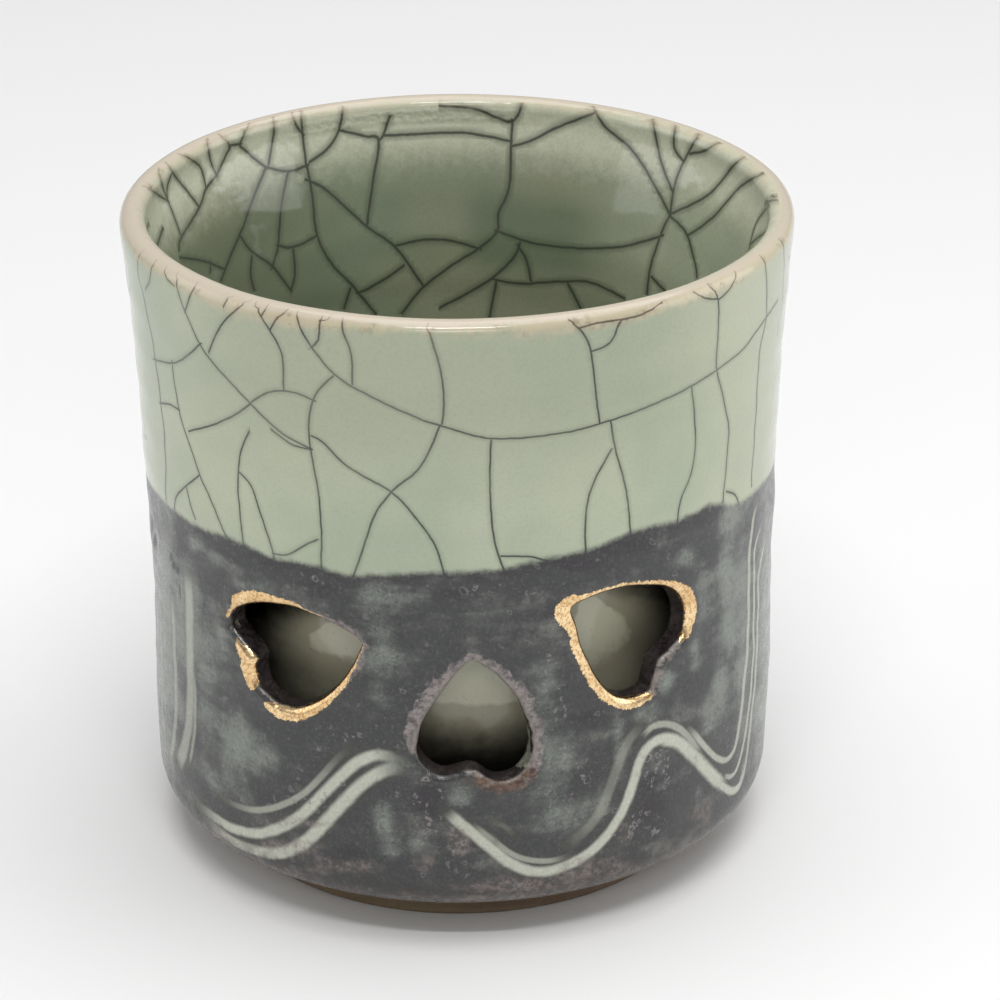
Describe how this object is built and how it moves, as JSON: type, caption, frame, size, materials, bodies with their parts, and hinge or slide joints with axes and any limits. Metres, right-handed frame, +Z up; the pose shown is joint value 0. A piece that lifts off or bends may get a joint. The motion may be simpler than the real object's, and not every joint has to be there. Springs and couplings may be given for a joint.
{
  "type": "double-walled teacup",
  "caption": "Handleless double-walled teacup with an inner bowl joined at the rim, a foot ring and heart-shaped openings through its outer shell.",
  "frame": {"origin": "middle of the foot ring's underside, on the surface the cup stands on", "axes": "+Z up along the cup's axis, -Y towards the front with the three heart-shaped openings, +X to the right seen from the front"},
  "size_m": [0.08, 0.08, 0.081],
  "materials": {
    "glazed_stoneware": "glossy crackled celadon glaze above, mottled dark glaze below, bare clay at the foot"
  },
  "bodies": {
    "root": {"teacup": "glazed_stoneware"}
  },
  "joints": []
}
